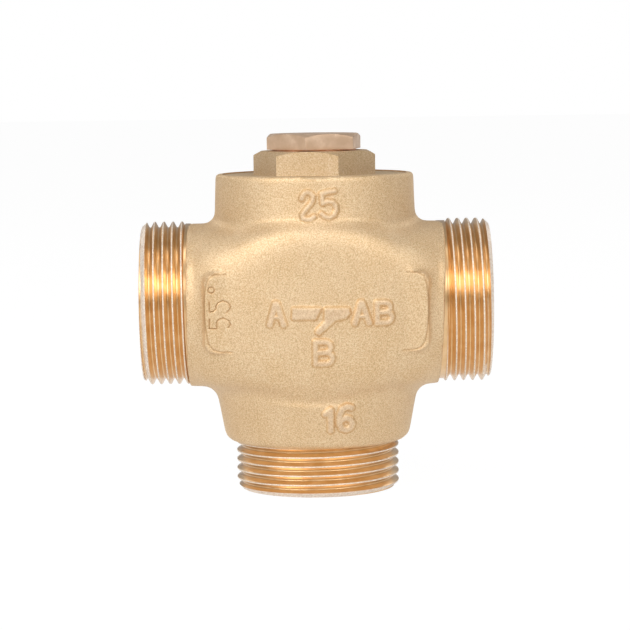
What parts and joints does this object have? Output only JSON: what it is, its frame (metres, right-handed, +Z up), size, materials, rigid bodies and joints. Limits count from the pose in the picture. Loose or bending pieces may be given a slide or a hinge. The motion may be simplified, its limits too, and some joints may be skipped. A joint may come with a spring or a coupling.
{
  "type": "anti-condensation valve",
  "caption": "Cast brass three-port thermostatic valve with male pipe threads, a screwed hexagon cover and a wax insert that mixes two inlets.",
  "frame": {"origin": "centre of the lower port's flat end face", "axes": "+Z up along the lower port and the cover, +X from port A to port AB, marks on the -Y side"},
  "size_m": [0.088, 0.058, 0.0902],
  "materials": {
    "cast_brass": "sand cast, fine grain",
    "turned_brass": "turned and milled",
    "copper": "drawn, dull",
    "stainless": "stamped",
    "spring_steel": "drawn wire",
    "ground_steel": "ground",
    "rubber": "moulded, matte"
  },
  "bodies": {
    "housing": {"valve_body": "cast_brass", "cover": "cast_brass", "cover_o_ring": "rubber", "end_plug": "turned_brass", "plug_washer": "copper", "seat_plate": "stainless", "plate_gasket": "rubber", "retaining_ring": "spring_steel", "lower_frame": "stainless", "piston_pin": "ground_steel", "return_spring": "spring_steel", "bypass_seat_ring": "turned_brass"},
    "shuttle": {"main_valve_disc": "turned_brass", "main_valve_seal": "rubber", "wax_capsule": "copper", "element_guide": "turned_brass", "pin_wiper_ring": "rubber", "bypass_stem": "ground_steel", "stem_clip": "spring_steel", "bypass_spring": "spring_steel"},
    "bypass_valve": {"bypass_disc": "turned_brass", "bypass_seal": "rubber"}
  },
  "joints": [
    {"name": "thermostat_travel", "type": "slide", "parent": "housing", "child": "shuttle", "axis": [0, 0, -1], "range_m": [0, 0.007], "stiffness_N_per_m": 3000, "springref_m": -0.002, "deforming": ["return_spring"]},
    {"name": "bypass_yield", "type": "slide", "parent": "shuttle", "child": "bypass_valve", "axis": [0, 0, 1], "range_m": [0, 0.0015], "stiffness_N_per_m": 400, "springref_m": -0.001, "deforming": ["bypass_spring"]}
  ]
}
